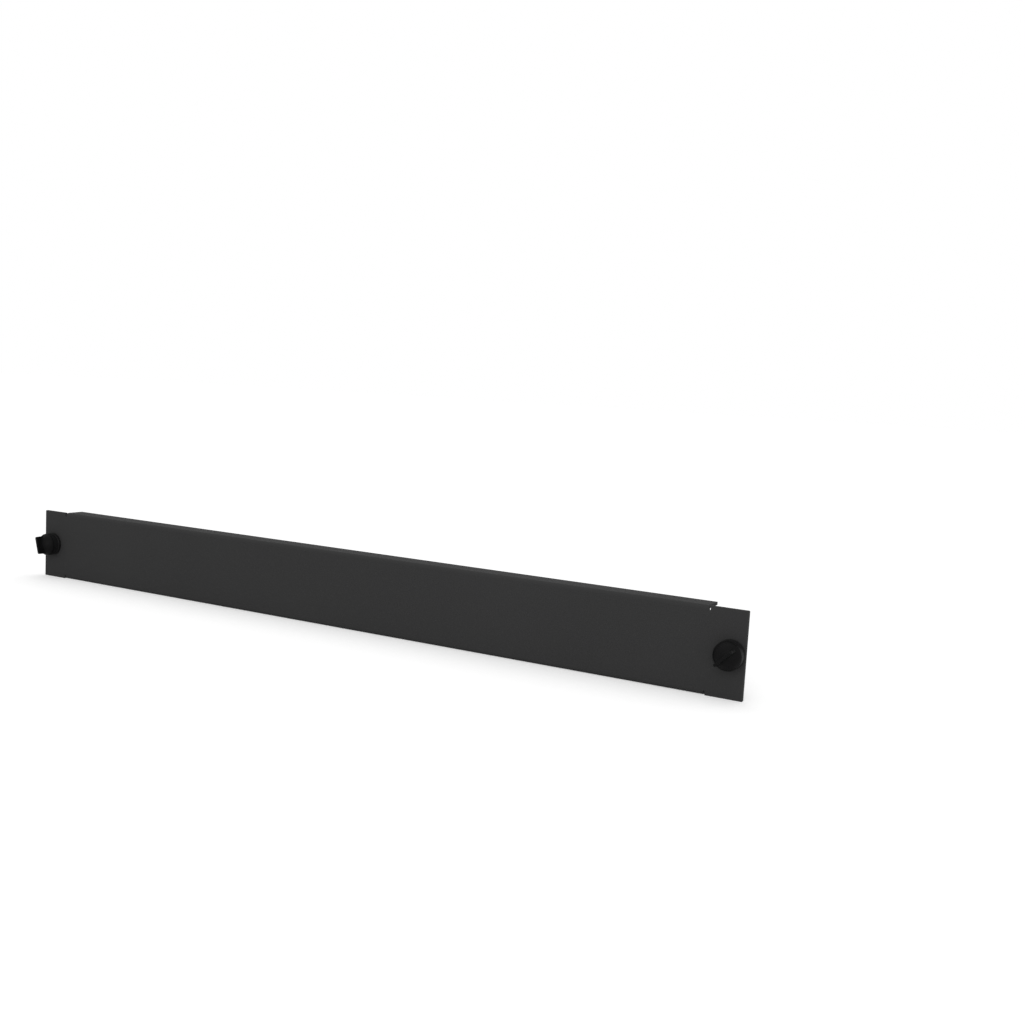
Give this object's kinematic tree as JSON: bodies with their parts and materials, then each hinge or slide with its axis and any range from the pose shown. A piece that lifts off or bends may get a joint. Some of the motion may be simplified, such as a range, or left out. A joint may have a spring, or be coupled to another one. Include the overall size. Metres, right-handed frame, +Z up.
{
  "type": "rack blanking panel",
  "caption": "Black steel panel with its long edges folded back, closing an empty unit of an equipment rack, with a winged quarter-turn fastener at each end.",
  "frame": {"origin": "middle of the panel's rear face, which bears on the rack's rails, level with the two fasteners", "axes": "+X along the panel to its right end seen from the front, +Y back into the rack, +Z up"},
  "size_m": [0.48, 0.0257, 0.0436],
  "materials": {
    "panel_coat": "fine textured powder coat, matte",
    "sleeve_nylon": "moulded nylon, fine grain",
    "knob_nylon": "moulded nylon, fine grain"
  },
  "bodies": {
    "panel": {"panel": "panel_coat", "left_sleeve": "sleeve_nylon", "right_sleeve": "sleeve_nylon"},
    "left_knob": {"left_knob": "knob_nylon"},
    "right_knob": {"right_knob": "knob_nylon"}
  },
  "joints": [
    {"name": "left_turn", "type": "hinge", "parent": "panel", "child": "left_knob", "pos_m": [-0.23255, 0, 0], "axis": [0, 1, 0], "range_deg": [0, 90]},
    {"name": "right_turn", "type": "hinge", "parent": "panel", "child": "right_knob", "pos_m": [0.23255, 0, 0], "axis": [0, 1, 0], "range_deg": [-45, 45]}
  ]
}
